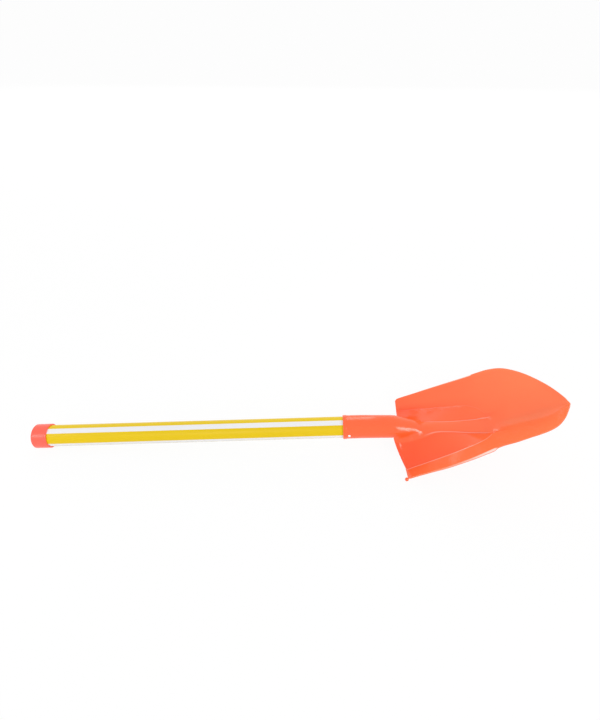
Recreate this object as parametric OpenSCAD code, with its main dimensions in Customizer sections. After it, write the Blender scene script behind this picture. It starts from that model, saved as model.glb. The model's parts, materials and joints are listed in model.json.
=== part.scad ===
/* [Handle] */
// Outside diameter of the handle over its plastic sleeve
handle_d = 22; // [16:0.5:32]
// Distance from the flat end of the cap to the mouth of the socket
handle_reach = 320.6; // [200:0.1:700]
// Thickness of the plastic sleeve drawn over the tube
sleeve_t = 0.5; // [0.3:0.05:1.5]
// Wall of the steel tube
tube_t = 0.6; // [0.3:0.05:2]
// Running clearance between the sleeve and the two plastic sockets
fit_gap = 0.1; // [0.05:0.05:0.4]
// Depth of the white stripes set into the sleeve
stripe_t = 0.2; // [0.1:0.05:0.5]
// Angle that one white stripe covers around the sleeve
stripe_turn = 29; // [10:1:60]
// Direction of the middle of the first stripe, from the near side upward
stripe_phase = 74.5; // [0:0.5:90]

/* [End cap] */
// Length of the end cap over the handle
cap_l = 15.5; // [8:0.1:40]
// Outside diameter of the end cap
cap_d = 24.9; // [18:0.1:40]
// Thickness of the flat end of the cap
cap_end_t = 2; // [1:0.1:5]
// Rounding of the outer edge of the flat end
cap_round = 1.1; // [0.3:0.1:3]
// Rounding of the open rim of the cap
cap_rim_round = 0.5; // [0.1:0.05:0.6]

/* [Socket] */
// Outside diameter of the straight socket
socket_d = 24.5; // [18:0.1:40]
// Outside diameter of the socket where it meets the blade
socket_end_d = 23.9; // [18:0.1:40]
// Length of the straight socket with its collar
socket_l = 52.4; // [20:0.1:90]
// Depth that the handle goes into the socket
socket_depth = 31; // [15:0.5:80]
// Distance from the mouth to where the socket starts to bend down
socket_bend = 19; // [8:0.5:50]
// How far the blade end of the socket lies below the handle line
socket_drop = 1.3; // [0:0.1:3]
// Outside diameter of the collar at the mouth
collar_d = 25.1; // [18:0.1:42]
// Length of the collar at the mouth
collar_l = 3.9; // [2:0.1:10]
// Rounding of the collar edges
collar_round = 0.6; // [0.2:0.05:1.5]

/* [Rivet] */
// Distance of the rivet from the mouth of the socket
rivet_in = 6.2; // [5:0.1:30]
// Diameter of the rivet head
rivet_head_d = 3.2; // [2:0.1:8]
// Height of the rivet head above the socket
rivet_head_h = 0.7; // [0.4:0.05:2]
// Diameter of the rivet shank
rivet_d = 2; // [1:0.1:5]
// Length that the shank shows inside the tube
rivet_tail = 1.6; // [0.5:0.1:5]

/* [Blade] */
// Distance from the end of the straight socket to the rear corners of the blade
blade_back = 10; // [4:0.5:40]
// Length that the rib of the blade starts inside the socket
rib_in = 0.5; // [0.2:0.1:3]
// Length of the blade from its rear corners to its tip
blade_l = 168; // [90:0.5:300]
// Greatest width of the blade
blade_w = 107.2; // [60:0.2:220]
// Wall of the blade
blade_t = 2.2; // [1.2:0.1:5]
// Height of the tongue above the two panels beside it
tongue_h = 1.3; // [0.5:0.1:4]
// Wall of the blade at its rim
rim_t = 1.2; // [0.6:0.1:4]
// Depth of the lip that hangs from the rear half of each rim
lip_h = 2.6; // [1:0.1:12]
// Thickness of that lip
lip_t = 1.8; // [1:0.1:4]
// Radius of the small nub at the near rear corner
nub_r = 1.9; // [1:0.1:6]

/* [Hidden] */
$fn = 96;
// Sides of a true round
round_fn = 96;
// A small overlap that keeps joined shapes joined
join = 0.02 * blade_t;

handle_r = handle_d / 2;
tube_r = handle_r - sleeve_t;
tube_bore_r = tube_r - tube_t;
stripe_r = handle_r - stripe_t;
bore_r = handle_r + fit_gap;
cap_r = cap_d / 2;
socket_r = socket_d / 2;
socket_end_r = socket_end_d / 2;
collar_r = collar_d / 2;
tube_start = cap_end_t + fit_gap;
tube_end = handle_reach + socket_depth - fit_gap;
tube_l = tube_end - tube_start;
socket_end = handle_reach + socket_l;
bend_x = handle_reach + socket_bend;
bend_r = mix(socket_r, socket_end_r, (socket_bend - collar_round) / (socket_l - collar_round));
bore_end = handle_reach + socket_depth;
rivet_x = handle_reach + rivet_in;
rivet_r = rivet_d / 2;
rivet_hole_r = rivet_r + fit_gap / 2;
blade_x = socket_end + blade_back;
blade_half = blade_w / 2;
rib_start = -(blade_back + rib_in) / blade_l;

// Station along the blade, half width, rim height and floor height.
// Widths are shares of half the blade width, the rest shares of its length.
blade_shares = [
  [0.000, 0.977, -0.110, -0.191],
  [0.010, 0.999, -0.098, -0.188],
  [0.045, 0.999, -0.080, -0.177],
  [0.1375, 0.996, -0.039, -0.152],
  [0.215, 0.996, -0.004, -0.130],
  [0.291, 0.983, 0.034, -0.106],
  [0.3655, 0.965, 0.073, -0.081],
  [0.4375, 0.939, 0.114, -0.057],
  [0.508, 0.919, 0.154, -0.034],
  [0.579, 0.913, 0.182, -0.010],
  [0.649, 0.875, 0.201, 0.014],
  [0.719, 0.807, 0.203, 0.038],
  [0.789, 0.709, 0.197, 0.063],
  [0.854, 0.575, 0.188, 0.089],
  [0.9125, 0.390, 0.183, 0.116],
  [0.963, 0.167, 0.176, 0.142],
  [0.985, 0.065, 0.168, 0.153],
  [1.000, 0.016, 0.158, 0.160]];
// How soon the floor turns into the side walls, as a share of the half width.
bowl_share = 0.8;

// Rows of the middle part, from the rear edge to the front of the panels:
// row, tongue edge station, width, height and crown above it, step, sag,
// panel outer edge station and width, rim station.
row_shares = [
  [0, rib_start, 0.157, -0.058, 0.121, 0.0, 0.022, 0.002, 0.670, 0.000],
  [1, -0.0476, 0.165, -0.057, 0.118, 0.0, 0.021, 0.006, 0.700, 0.008],
  [2, -0.024, 0.181, -0.055, 0.108, 0.0, 0.019, 0.013, 0.737, 0.020],
  [3, 0.027, 0.176, -0.051, 0.083, 0.0, 0.012, 0.046, 0.722, 0.055],
  [4, 0.080, 0.164, -0.033, 0.0425, 1.0, 0.005, 0.116, 0.688, 0.120],
  [5, 0.137, 0.135, -0.015, 0.0066, 2.6, 0.002, 0.205, 0.633, 0.205],
  [6, 0.206, 0.113, -0.016, 0.0040, 1.3, 0.000, 0.279, 0.591, 0.280],
  [7, 0.298, 0.116, -0.021, 0.0035, 1.0, 0.000, 0.352, 0.544, 0.350],
  [8, 0.400, 0.142, -0.024, 0.0030, 1.0, 0.000, 0.421, 0.494, 0.420],
  [9, 0.464, 0.157, -0.024, 0.0030, 0.9, 0.000, 0.471, 0.431, 0.468],
  [10, 0.509, 0.175, -0.022, 0.0030, 0.7, 0.000, 0.507, 0.362, 0.482],
  [11, 0.538, 0.180, -0.020, 0.0020, 0.4, 0.000, 0.533, 0.283, 0.532],
  [12, 0.565, 0.185, -0.015, 0.0010, 0.2, 0.000, 0.548, 0.240, 0.572]];
// Lip below each rim: station and height share.
lip_shares = [
  [0.000, 0.06], [0.120, 0.10], [0.205, 0.20], [0.280, 0.36],
  [0.350, 0.60], [0.420, 0.90], [0.468, 1.00], [0.482, 0.00], [1.000, 0.00]];
// Where the wall starts to thin toward the rim, as a share of the half width.
thin_share = 0.7;

last_row = 12;
row_cuts = 2;
front_rows = 11;
tongue_cols = 4;
flank_cols = 3;
wall_cols = 6;
tip_crowd_share = 0.25;
step_share = 0.028;
draft_share = 0.15;
// How far the sag of the panels leans toward the tip
sag_lean_share = 0.22;

function seg(t, x, i = 0) =
  i < len(t) - 2 && x > t[i + 1][0] ? seg(t, x, i + 1) : i;
function grade(t, i, k) =
  let (a = max(0, i - 1), b = min(len(t) - 1, i + 1))
  (t[b][k] - t[a][k]) / (t[b][0] - t[a][0]);
function smooth(t, x, k) =
  let (i = seg(t, x), h = t[i + 1][0] - t[i][0],
       u = min(1, max(0, (x - t[i][0]) / h)), u2 = u * u, u3 = u2 * u)
  (2 * u3 - 3 * u2 + 1) * t[i][k] + (u3 - 2 * u2 + u) * h * grade(t, i, k)
  + (3 * u2 - 2 * u3) * t[i + 1][k] + (u3 - u2) * h * grade(t, i + 1, k);

function dish(v) =
  (sqrt(bowl_share * bowl_share + v * v) - bowl_share)
  / (sqrt(bowl_share * bowl_share + 1) - bowl_share);
function half_at(s) = blade_half * smooth(blade_shares, s, 1);
function rim_at(s) = blade_l * smooth(blade_shares, s, 2);
function floor_at(s) = blade_l * smooth(blade_shares, s, 3);
function bowl_at(s, y) =
  let (w = half_at(s), f = floor_at(s))
  f + (rim_at(s) - f) * dish(y / w);

// A closed slab between an upper and a lower grid of points.
module slab(top, low) {
  n = len(top);
  m = len(top[0]);
  pts = concat([for (r = top) for (p = r) p], [for (r = low) for (p = r) p]);
  b = n * m;
  function id(i, j) = i * m + j;
  faces = concat(
    [for (i = [0:n - 2]) for (j = [0:m - 2]) [id(i, j), id(i, j + 1), id(i + 1, j + 1)]],
    [for (i = [0:n - 2]) for (j = [0:m - 2]) [id(i, j), id(i + 1, j + 1), id(i + 1, j)]],
    [for (i = [0:n - 2]) for (j = [0:m - 2]) [b + id(i, j), b + id(i + 1, j + 1), b + id(i, j + 1)]],
    [for (i = [0:n - 2]) for (j = [0:m - 2]) [b + id(i, j), b + id(i + 1, j), b + id(i + 1, j + 1)]],
    [for (i = [0:n - 2]) [id(i, 0), id(i + 1, 0), b + id(i + 1, 0)]],
    [for (i = [0:n - 2]) [id(i, 0), b + id(i + 1, 0), b + id(i, 0)]],
    [for (i = [0:n - 2]) [id(i, m - 1), b + id(i, m - 1), b + id(i + 1, m - 1)]],
    [for (i = [0:n - 2]) [id(i, m - 1), b + id(i + 1, m - 1), id(i + 1, m - 1)]],
    [for (j = [0:m - 2]) [id(0, j), b + id(0, j), b + id(0, j + 1)]],
    [for (j = [0:m - 2]) [id(0, j), b + id(0, j + 1), id(0, j + 1)]],
    [for (j = [0:m - 2]) [id(n - 1, j), id(n - 1, j + 1), b + id(n - 1, j + 1)]],
    [for (j = [0:m - 2]) [id(n - 1, j), b + id(n - 1, j + 1), b + id(n - 1, j)]]);
  polyhedron(pts, faces, 4);
}

function mix(a, b, u) = a + (b - a) * u;
function ease(u) = u * u * (3 - 2 * u);
function at(s, y, z) = [blade_x + blade_l * s, y, z];
function on_bowl(s, y) = at(s, y, bowl_at(s, y));

// Arc over the rib or tongue, from its crown to its edge.
function arc_point(s, y, z, rise, u) =
  let (r = (y * y + rise * rise) / (2 * rise), a = atan2(rise - r, y),
       t = 90 - u * (90 + a))
  at(s, r * cos(t), z + rise - r + r * sin(t));

function half_row(k) =
  let (s = smooth(row_shares, k, 1), y = blade_half * smooth(row_shares, k, 2),
       z = blade_l * smooth(row_shares, k, 3), rise = blade_l * smooth(row_shares, k, 4),
       step = smooth(row_shares, k, 5), sag = blade_l * smooth(row_shares, k, 6),
       sp = smooth(row_shares, k, 7), yp = blade_half * smooth(row_shares, k, 8),
       sr = smooth(row_shares, k, 9), wr = half_at(sr), lim = wr - lip_t,
       foot = at(s, y + step_share * blade_half * (1 + step) / 2, z - tongue_h * step),
       pan = on_bowl(sp, yp), draft = draft_share * lip_t)
  concat(
    [for (q = [0:tongue_cols]) arc_point(s, y, z, rise, q / tongue_cols)],
    [for (q = [0:flank_cols]) let (u = q / flank_cols)
      mix(foot, pan, u) + 4 * sag * u * (1 - u) * [sag_lean_share, 0, -1]],
    [for (q = [1:wall_cols]) let (u = q / wall_cols)
      on_bowl(mix(sp, sr, u), mix(yp, lim - draft, u))],
    [on_bowl(sr, lim), on_bowl(sr, wr)]);
// Shares across the row where the panels have ended.
base_row = half_row(last_row);
base_s = row_shares[last_row][9];
cols = len(base_row) - 1;
function front_row(f) =
  let (s = f <= 0 ? base_s : mix(base_s, 1, f + tip_crowd_share * f * (1 - f)), w = half_at(s),
       lim = max(w - lip_t, w * (1 - 1 / cols)), draft = draft_share * min(lip_t, w / cols))
  concat(
    [for (j = [0:cols - 2]) let (b = base_row[j][1] / base_row[cols - 2][1],
       c = mix(b, j / (cols - 2), ease(min(1, 2 * f))), y = c * (lim - draft)) on_bowl(s, y)],
    [on_bowl(s, lim), on_bowl(s, w)]);
function flip(p) = [p[0], -p[1], p[2]];
function full_row(h) =
  let (n = len(h)) concat([for (q = [0:n - 2]) flip(h[n - 1 - q])], h);
top_grid = concat(
  [for (i = [0:row_cuts * last_row - 1]) full_row(half_row(i / row_cuts))],
  [for (i = [0:front_rows]) full_row(front_row(i / front_rows))]);
row_total = len(top_grid);
col_total = len(top_grid[0]);
function unit(v) = v / norm(v);
function normal_at(i, j) =
  let (i0 = max(0, i - 1), i1 = min(row_total - 1, i + 1),
       j0 = max(0, j - 1), j1 = min(col_total - 1, j + 1))
  unit(cross(top_grid[i1][j] - top_grid[i0][j], top_grid[i][j1] - top_grid[i][j0]));
function rim_station(i) =
  i < row_cuts * last_row ? smooth(row_shares, i / row_cuts, 9)
  : (top_grid[i][0][0] - blade_x) / blade_l;
function lip_at(i) = lip_h * smooth(lip_shares, min(1, max(0, rim_station(i))), 1);
function wall_at(i, j) =
  let (v = abs(top_grid[i][j][1] / top_grid[i][0][1]))
  mix(blade_t, rim_t, max(0, v - thin_share) / (1 - thin_share));
low_grid = [for (i = [0:row_total - 1]) [for (j = [0:col_total - 1])
  top_grid[i][j] - wall_at(i, j) * normal_at(i, j)
  - [0, 0, j < 2 || j > col_total - 3 ? lip_at(i) : 0]]];

module blade_shell() {
  slab(top_grid, low_grid);
}

nub_share = [0.42, 1.15];
nub_x = blade_x - nub_share[0] * nub_r;
nub_y = half_at(0);
nub_z = rim_at(0) - nub_share[1] * nub_r;

// Round bar along the handle with softly rounded end edges.
module soft_bar(x0, x1, r, f0, f1) {
  translate([x0, 0, 0]) rotate([0, 90, 0]) rotate_extrude($fn = round_fn)
    union() {
      translate([0, f0]) square([r, x1 - x0 - f0 - f1]);
      square([r - f0, x1 - x0]);
      translate([0, x1 - x0 - f1]) square([r - f1, f1]);
      intersection() {
        translate([r - f0, f0]) circle(r = f0, $fn = round_fn);
        translate([r - f0, 0]) square([f0, f0]);
      }
      intersection() {
        translate([r - f1, x1 - x0 - f1]) circle(r = f1, $fn = round_fn);
        translate([r - f1, x1 - x0 - f1]) square([f1, f1]);
      }
    }
}
// Round bar along the handle that ends in a small chamfer.
module bevel_bar(x0, x1, r, bevel) {
  translate([x0, 0, 0]) rotate([0, 90, 0]) rotate_extrude($fn = round_fn)
    polygon([[0, 0], [r, 0], [r, x1 - x0 - bevel], [r - bevel, x1 - x0], [0, x1 - x0]]);
}
module taper(x0, x1, r0, r1) {
  translate([x0, 0, 0]) rotate([0, 90, 0]) cylinder(r1 = r0, r2 = r1, h = x1 - x0, $fn = round_fn);
}
module along(x0, x1, r) taper(x0, x1, r, r);
module rivet_hole(r) {
  translate([rivet_x, 0, 0]) rotate([90, 0, 0])
    cylinder(r = r, h = 2 * socket_r, $fn = round_fn);
}

// The shovel lies on the low edge of its cap and on the rear edge of its blade.
rest_share = [0.0088, -0.1518];
rest_x = blade_x + rest_share[0] * blade_l;
rest_z = rest_share[1] * blade_l;
cap_z = -(cap_r - cap_round);
gap_x = rest_x - cap_round;
gap_z = rest_z - cap_z;
gap_l = sqrt(gap_x * gap_x + gap_z * gap_z);
lean = asin(-cap_round / gap_l) - atan2(gap_z, gap_x);
lift = cap_round - (cap_round * sin(lean) + cap_z * cos(lean));
tip_out_share = 0.454;
tip_x = (blade_x + blade_l) * cos(lean) + tip_out_share * blade_t
  - blade_l * blade_shares[17][2] * sin(lean);
back_x = cap_round * cos(lean) + cap_z * sin(lean) - cap_round;
mid_x = (tip_x + back_x) / 2;
module laid() {
  translate([-mid_x, 0, lift]) rotate([0, -lean, 0]) children();
}

module shovel_head() color([1, 0.44, 0.3]) laid() {
  difference() {
    union() {
      blade_shell();
      soft_bar(handle_reach, handle_reach + collar_l, collar_r, collar_round, collar_round);
      taper(handle_reach + collar_round, bend_x, socket_r, bend_r);
      hull() {
        along(bend_x - join, bend_x, bend_r);
        translate([0, 0, -socket_drop])
          bevel_bar(socket_end - 2 * collar_round, socket_end, socket_end_r, collar_round);
      }
      translate([nub_x, -nub_y, nub_z]) sphere(r = nub_r, $fn = round_fn);
    }
    along(handle_reach - collar_round, bore_end, bore_r);
    rivet_hole(rivet_hole_r);
  }
}

module end_cap() color([1, 0.4, 0.34]) laid() difference() {
  soft_bar(0, cap_l, cap_r, cap_round, cap_rim_round);
  along(cap_end_t, cap_l + cap_end_t, bore_r);
}

module ring(r_out, r_in, x0, x1) {
  difference() {
    along(x0, x1, r_out);
    along(x0 - sleeve_t, x1 + sleeve_t, r_in);
  }
}

module handle_tube() color([0.75, 0.76, 0.78]) laid() difference() {
  ring(tube_r, tube_bore_r, tube_start, tube_end);
  rivet_hole(rivet_hole_r);
}

// A wedge that cuts one stripe out of the sleeve.
module wedge(turn) {
  reach = 2 * handle_r;
  a = stripe_turn / 2;
  rotate([turn, 0, 0]) translate([tube_start - sleeve_t, 0, 0]) rotate([90, 0, 90])
    linear_extrude(height = tube_l + 2 * sleeve_t)
      polygon([[0, 0], [-reach * cos(a), -reach * sin(a)], [-reach * cos(a), reach * sin(a)]]);
}
function stripe_angle(n) = -stripe_phase + 90 * n;
module stripe(n) color([0.93, 0.93, 0.95]) laid() difference() {
  intersection() {
    ring(handle_r, stripe_r, tube_start, tube_end);
    wedge(stripe_angle(n));
  }
  rivet_hole(rivet_hole_r);
}
module handle_sleeve() color([0.93, 0.8, 0.1]) laid() difference() {
  ring(handle_r, tube_r, tube_start, tube_end);
  for (n = [0:3]) intersection() {
    ring(handle_r + join, stripe_r, tube_start - join, tube_end + join);
    wedge(stripe_angle(n));
  }
  rivet_hole(rivet_hole_r);
}
module stripe_upper_near() stripe(0);
module stripe_lower_near() stripe(1);
module stripe_lower_far() stripe(2);
module stripe_upper_far() stripe(3);

module socket_rivet() color([0.85, 0.86, 0.88]) laid() translate([rivet_x, 0, 0])
  rotate([90, 0, 0]) union() {
    translate([0, 0, tube_bore_r - rivet_tail])
      cylinder(r = rivet_r, h = socket_r - tube_bore_r + rivet_tail + join, $fn = round_fn);
    translate([0, 0, socket_r]) cylinder(r = rivet_head_d / 2, h = rivet_head_h, $fn = round_fn);
  }

shovel_head();
end_cap();
handle_tube();
handle_sleeve();
stripe_upper_near();
stripe_lower_near();
stripe_lower_far();
stripe_upper_far();
socket_rivet();
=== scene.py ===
import json
import math

import bmesh
import bpy
from bpy.props import FloatProperty, FloatVectorProperty, PointerProperty
from mathutils import Matrix, Vector


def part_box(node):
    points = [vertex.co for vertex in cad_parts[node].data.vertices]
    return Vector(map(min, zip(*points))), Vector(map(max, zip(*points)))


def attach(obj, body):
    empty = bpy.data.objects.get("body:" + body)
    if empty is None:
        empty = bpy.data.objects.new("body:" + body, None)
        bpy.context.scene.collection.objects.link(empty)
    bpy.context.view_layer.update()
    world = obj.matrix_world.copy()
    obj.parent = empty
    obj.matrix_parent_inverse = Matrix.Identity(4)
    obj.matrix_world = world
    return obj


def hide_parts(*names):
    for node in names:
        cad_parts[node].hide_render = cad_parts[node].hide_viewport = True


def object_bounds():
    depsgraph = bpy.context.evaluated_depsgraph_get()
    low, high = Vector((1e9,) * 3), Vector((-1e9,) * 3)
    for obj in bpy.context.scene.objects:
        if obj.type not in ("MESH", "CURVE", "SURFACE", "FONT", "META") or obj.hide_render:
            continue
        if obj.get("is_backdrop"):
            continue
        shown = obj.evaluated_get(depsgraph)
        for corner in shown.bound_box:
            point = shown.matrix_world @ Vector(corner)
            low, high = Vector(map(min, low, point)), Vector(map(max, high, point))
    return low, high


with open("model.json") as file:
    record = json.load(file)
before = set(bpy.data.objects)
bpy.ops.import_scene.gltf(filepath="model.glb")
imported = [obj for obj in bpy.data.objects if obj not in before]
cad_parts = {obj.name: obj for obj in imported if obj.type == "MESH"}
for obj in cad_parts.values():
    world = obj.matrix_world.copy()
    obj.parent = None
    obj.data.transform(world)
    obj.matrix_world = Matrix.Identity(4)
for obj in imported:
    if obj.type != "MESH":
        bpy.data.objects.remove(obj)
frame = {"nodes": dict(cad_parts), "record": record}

bl_info = {
    "name": "Sand Shovel",
    "version": (1, 0, 0),
    "blender": (4, 5, 0),
    "location": "View3D > Sidebar > Shovel",
    "description": "Builds a long handled sand shovel with its plastics and its studio",
    "category": "Add Mesh",
}

MM = 0.001
ROOT = "root"
STRIPES = ("stripe_upper_near", "stripe_lower_near", "stripe_lower_far", "stripe_upper_far")


def size_of(node):
    """Length, width and height of a node of the frame, in metres."""
    low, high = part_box(node)
    return Vector(high) - Vector(low)


# The handle line comes from the mount on the flat end of the cap
CAP_FACE = {m["name"]: m for m in frame["record"]["mounts"]}["cap_end"]
ALONG = -Vector(CAP_FACE["axis"]).normalized()
ACROSS = Vector((0.0, 1.0, 0.0))
LAID = Matrix((ALONG, ACROSS, ALONG.cross(ACROSS))).transposed().to_4x4()
LAID.translation = Vector(CAP_FACE["pos_m"])
HANDLE_WIDTH = size_of("handle_sleeve").y
CAP_WIDTH = size_of("end_cap").y


# Sizes and colours

def length(name, default, about):
    """A length property in metres, given in millimetres."""
    return FloatProperty(name=name, description=about, default=default * MM, min=0.0,
                         subtype="DISTANCE", unit="LENGTH")


def colour(name, default, about):
    """A colour property."""
    return FloatVectorProperty(name=name, description=about, default=default, size=3,
                               min=0.0, max=1.0, subtype="COLOR")


class ShovelSizes(bpy.types.PropertyGroup):
    reach: length("Reach", 320.6, "From the flat end of the cap to the mouth of the socket")
    sleeve: length("Sleeve", 0.5, "Thickness of the plastic sleeve")
    gap: length("Gap", 0.1, "Running clearance around the handle")
    cap_length: length("Cap length", 15.5, "Length of the end cap")
    cap_floor: length("Cap floor", 2.0, "Thickness of the flat end of the cap")
    cap_round: length("Cap rounding", 1.1, "Rounding of the flat end of the cap")
    rim_round: length("Cap rim rounding", 0.5, "Rounding of the open rim of the cap")
    socket_width: length("Socket width", 24.5, "Outside diameter of the socket")
    socket_end: length("Socket end width", 23.9, "Diameter where the socket meets the blade")
    socket_length: length("Socket length", 52.4, "Length of the socket with its collar")
    socket_depth: length("Socket depth", 31.0, "How far the handle goes into the socket")
    socket_bend: length("Socket bend", 19.0, "From the mouth to where the socket bends down")
    socket_drop: length("Socket drop", 1.3, "How far the blade end lies below the handle line")
    collar_width: length("Collar width", 25.1, "Outside diameter of the collar")
    collar_length: length("Collar length", 3.9, "Length of the collar")
    collar_round: length("Collar rounding", 0.6, "Rounding of the collar edges")
    rivet_in: length("Rivet place", 6.2, "From the mouth of the socket to the rivet")
    rivet_head: length("Rivet head", 3.2, "Diameter of the rivet head")
    rivet_rise: length("Rivet rise", 0.7, "Height of the rivet head")
    blade_back: length("Blade back", 10.0, "From the socket end to the rear corners")
    blade_length: length("Blade length", 168.0, "From the rear corners to the tip")
    blade_width: length("Blade width", 107.2, "Greatest width of the blade")
    blade_wall: length("Blade wall", 2.2, "Wall in the middle of the blade")
    rim_wall: length("Rim wall", 1.2, "Wall at the rim")
    tongue_rise: length("Tongue rise", 1.3, "Height of the tongue above the panels")
    lip_height: length("Lip height", 2.6, "Depth of the lip under the rear rims")
    lip_wall: length("Lip wall", 1.8, "Thickness of the lip")
    nub_radius: length("Nub radius", 1.9, "Radius of the nub at the rear corner")


class ShovelColours(bpy.types.PropertyGroup):
    # The two corals below are the dark and light ends of the painted shade and painted light on the blade
    coral_painted_shade: colour("Deep coral", (1.0, 0.090, 0.016), "Plastic of the blade where its wall is thick")
    coral_painted_light: colour("Light coral", (1.0, 0.194, 0.066), "Plastic of the blade where its wall is thin")
    # Colour of the painted highlights along the creases, the tongue edges and the lips
    painted_highlight_colour: colour("Rubbed coral", (1.0, 0.64, 0.57), "Edges of the blade that sand has rubbed light")
    cap: colour("Cap", (1.0, 0.110, 0.070), "Soft plastic of the end cap")
    yellow: colour("Yellow", (0.69, 0.48, 0.001), "Plastic sleeve of the handle")
    white: colour("White", (0.735, 0.735, 0.755), "Stripes of the handle")
    steel: colour("Steel", (0.55, 0.56, 0.58), "Tube inside the handle")
    rivet: colour("Rivet", (0.80, 0.81, 0.83), "Rivet of the socket")


def sizes():
    return bpy.context.scene.shovel_sizes


def colours():
    return bpy.context.scene.shovel_colours


# Shader nodes

class Value:
    """A number socket that takes part in sums. Each sum adds a Math node."""

    def __init__(self, shader, socket):
        self.shader, self.socket = shader, socket

    def __add__(self, other):
        return self.shader.math("ADD", self, other)

    def __mul__(self, other):
        return self.shader.math("MULTIPLY", self, other)

    __radd__, __rmul__ = __add__, __mul__


# Sockets of a Mix node: its factor and two colours, and the mixed colour
MIX_INPUTS, MIX_OUTPUT = (0, 6, 7), 2


class Shader:
    """The nodes of a material or of the surroundings, under construction."""

    def __init__(self, owner, output="ShaderNodeOutputMaterial"):
        owner.use_nodes = True
        self.owner, self.tree = owner, owner.node_tree
        self.tree.nodes.clear()
        self.output = self.node(output)

    def node(self, kind, settings=(), **sockets):
        """Adds a node with its settings first, then the values or links of its sockets."""
        made = self.tree.nodes.new(kind)
        for key, value in dict(settings).items():
            setattr(made, key, value)
        for key, value in sockets.items():
            self.feed(made.inputs[key.replace("_", " ")], value)
        return made

    def feed(self, socket, value):
        """Gives a socket a link or a plain value."""
        if isinstance(value, Value):
            value = value.socket
        if isinstance(value, bpy.types.NodeSocket):
            self.tree.links.new(value, socket)
        else:
            socket.default_value = value

    def math(self, operation, *values):
        made = self.node("ShaderNodeMath", {"operation": operation})
        for socket, value in zip(made.inputs, values):
            self.feed(socket, value)
        return Value(self, made.outputs[0])

    def spread(self, value, low, high):
        """How far a value has come from low to high, as a share from 0 to 1."""
        made = self.node("ShaderNodeMapRange", {"clamp": True}, Value=value, From_Min=low,
                         From_Max=high)
        return Value(self, made.outputs[0])

    def noise(self, stretch, scale, detail, roughness):
        """Noise over the object, drawn out along an axis whose stretch is under 1."""
        place = self.node("ShaderNodeTexCoord").outputs["Object"]
        place = self.node("ShaderNodeMapping", Vector=place, Scale=stretch).outputs[0]
        made = self.node("ShaderNodeTexNoise", Vector=place, Scale=scale, Detail=detail,
                         Roughness=roughness)
        return Value(self, made.outputs["Fac"])

    def attribute(self, name):
        """A value that the mesh holds at each point, 0 where it has none."""
        made = self.node("ShaderNodeAttribute", {"attribute_name": name})
        return Value(self, made.outputs["Fac"])

    def mix(self, factor, first, second, kind="MIX"):
        """A blend of two colours."""
        made = self.node("ShaderNodeMix", {"data_type": "RGBA", "blend_type": kind})
        for place, value in zip(MIX_INPUTS, (factor, first, second)):
            self.feed(made.inputs[place], value)
        return made.outputs[MIX_OUTPUT]

    def bump(self, height, depth, strength):
        made = self.node("ShaderNodeBump", Height=height, Distance=depth, Strength=strength)
        return made.outputs[0]

    def surface(self, settings, **sockets):
        """Adds the surface shader. Settings are the same all over, sockets may vary."""
        made = self.node("ShaderNodeBsdfPrincipled", **sockets)
        for key, value in settings.items():
            made.inputs[key].default_value = value
        self.feed(self.output.inputs["Surface"], made.outputs[0])
        return self.owner


WHITE = (1.0, 1.0, 1.0, 1.0)


def fresh_material(name):
    """Starts the nodes of a material, anew where it has some already."""
    return Shader(bpy.data.materials.get(name) or bpy.data.materials.new(name))


def shade(tint, factor=1.0):
    """The tint, darker or lighter by a factor, with full alpha."""
    return tuple(min(1.0, c * factor) for c in tint) + (1.0,)


# Noise of the finishes: stretch along X, Y and Z, scale, detail and roughness
FLOW_CLOUDS = ((1.0, 2.2, 1.6), 16.0, 2.0, 0.5)
FLOW_LINES = ((0.35, 1.0, 1.0), 60.0, 3.0, 0.5)
SCUFFS = ((1.0, 6.0, 3.0), 240.0, 4.0, 0.65)
SKIN_WAVES = ((1.0, 1.0, 1.0), 90.0, 1.0, 0.5)
DIMPLES = ((1.0, 1.0, 1.0), 1400.0, 2.0, 0.5)
SLEEVE_CLOUDS = ((0.3, 1.0, 1.0), 30.0, 2.0, 0.5)
DIE_LINES = ((0.02, 1.0, 1.0), 900.0, 3.0, 0.5)
METAL_LINES = ((0.05, 1.0, 1.0), 1500.0, 3.0, 0.5)
# Parts that the clouds and the lines have in a colour, or the waves and the dimples in a skin
MOULDED_PARTS, SLEEVE_PARTS, SKIN_PARTS = (0.7, 0.3), (0.6, 0.4), (0.8, 0.05)
# Range of the noise over which a colour or a roughness goes from one end to the other
CLOUD_RANGE, SCUFF_RANGE, SLEEVE_RANGE, LINE_RANGE = (0.3, 0.7), (0.35, 0.75), (0.35, 0.65), (0.3, 0.7)
# Darkest and lightest shade of a finish
SLEEVE_SHADES, METAL_SHADES = (0.97, 1.02), (0.94, 1.04)
# How far scuffs, die lines and lines in metal change the roughness
SCUFF_ROUGH, DIE_ROUGH, LINE_ROUGH = 0.06, 0.08, 0.12
SLEEVE_ROUGH = 0.34
# How strongly the glossy and the satin plastic bend light
GLOSS_IOR, SATIN_IOR = 1.49, 1.32
# Depth of the bumps in metres, and their strength
MOULDED_BUMP, SLEEVE_BUMP, METAL_BUMP = (0.00006, 0.6), (0.00002, 0.35), (0.00001, 0.4)


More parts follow.
